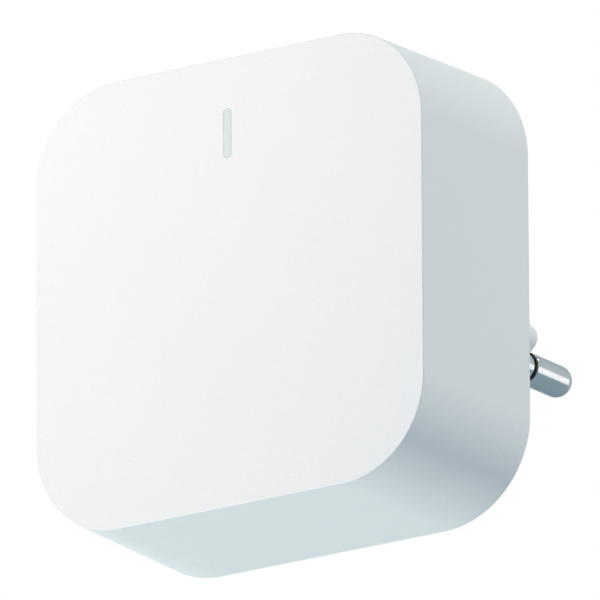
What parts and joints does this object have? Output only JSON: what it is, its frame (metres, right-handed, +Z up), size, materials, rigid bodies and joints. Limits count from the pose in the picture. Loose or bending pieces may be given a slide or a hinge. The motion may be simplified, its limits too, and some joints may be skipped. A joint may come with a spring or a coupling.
{
  "type": "smart home hub",
  "caption": "Square plug-in smart home hub with large rounded corners, a small light pill on the front, a flat two-pin mains plug on the back, and radio and power boards inside.",
  "frame": {"origin": "midway between the two plug pins, on the plug's engagement face (the face that meets the socket)", "axes": "+Y out of the plug along the pins, away from the front face; +Z up, towards the light pill; +X across"},
  "size_m": [0.0572, 0.0583, 0.0572],
  "materials": {
    "black_insulation": "black moulded plastic",
    "board_green": "green circuit board",
    "board_tan": "tan circuit board",
    "can_sleeve": "dark shrink sleeve",
    "contact_brass": "stamped brass",
    "disc_blue": "blue dipped disc",
    "ferrite": "dark sintered ferrite",
    "housing_white": "fine matt moulded plastic",
    "lamp_white": "small white lamp",
    "light_pill": "milky light guide",
    "part_black": "black moulded parts",
    "pin_metal": "bright nickel plate",
    "resistor_green": "painted resistor",
    "screw_steel": "zinc plated steel",
    "shield_tin": "tinned sheet",
    "winding_copper": "enamelled copper wire",
    "winding_tape": "yellow winding tape"
  },
  "bodies": {
    "root": {"bridge_rectifier": "part_black", "bulk_capacitor_1": "can_sleeve", "bulk_capacitor_2": "can_sleeve", "choke_bobbin": "part_black", "choke_core": "ferrite", "choke_winding": "winding_copper", "controller_chip": "part_black", "crystal": "shield_tin", "front_cover": "housing_white", "fusible_resistor": "resistor_green", "header_block": "part_black", "header_pins": "contact_brass", "header_socket": "part_black", "light_guide": "light_pill", "main_board": "board_green", "main_board_screws": "screw_steel", "memory_chip": "part_black", "mesh_radio_antenna": "shield_tin", "mesh_radio_board": "board_green", "mesh_radio_shield": "shield_tin", "output_capacitor": "can_sleeve", "output_diode": "part_black", "pin_collar_left": "black_insulation", "pin_collar_right": "black_insulation", "pin_contact_left": "contact_brass", "pin_contact_right": "contact_brass", "pin_sleeve_left": "black_insulation", "pin_sleeve_right": "black_insulation", "plug_pin_left": "pin_metal", "plug_pin_right": "pin_metal", "power_board": "board_tan", "power_board_screws": "screw_steel", "rear_cover": "housing_white", "regulator_chip": "part_black", "regulator_inductor": "part_black", "safety_capacitor": "disc_blue", "status_led": "lamp_white", "switching_chip": "part_black", "transformer_bobbin": "part_black", "transformer_core": "ferrite", "transformer_winding": "winding_tape", "varistor": "disc_blue", "wlan_radio_antenna": "shield_tin", "wlan_radio_board": "board_green", "wlan_radio_shield": "shield_tin"}
  },
  "joints": []
}
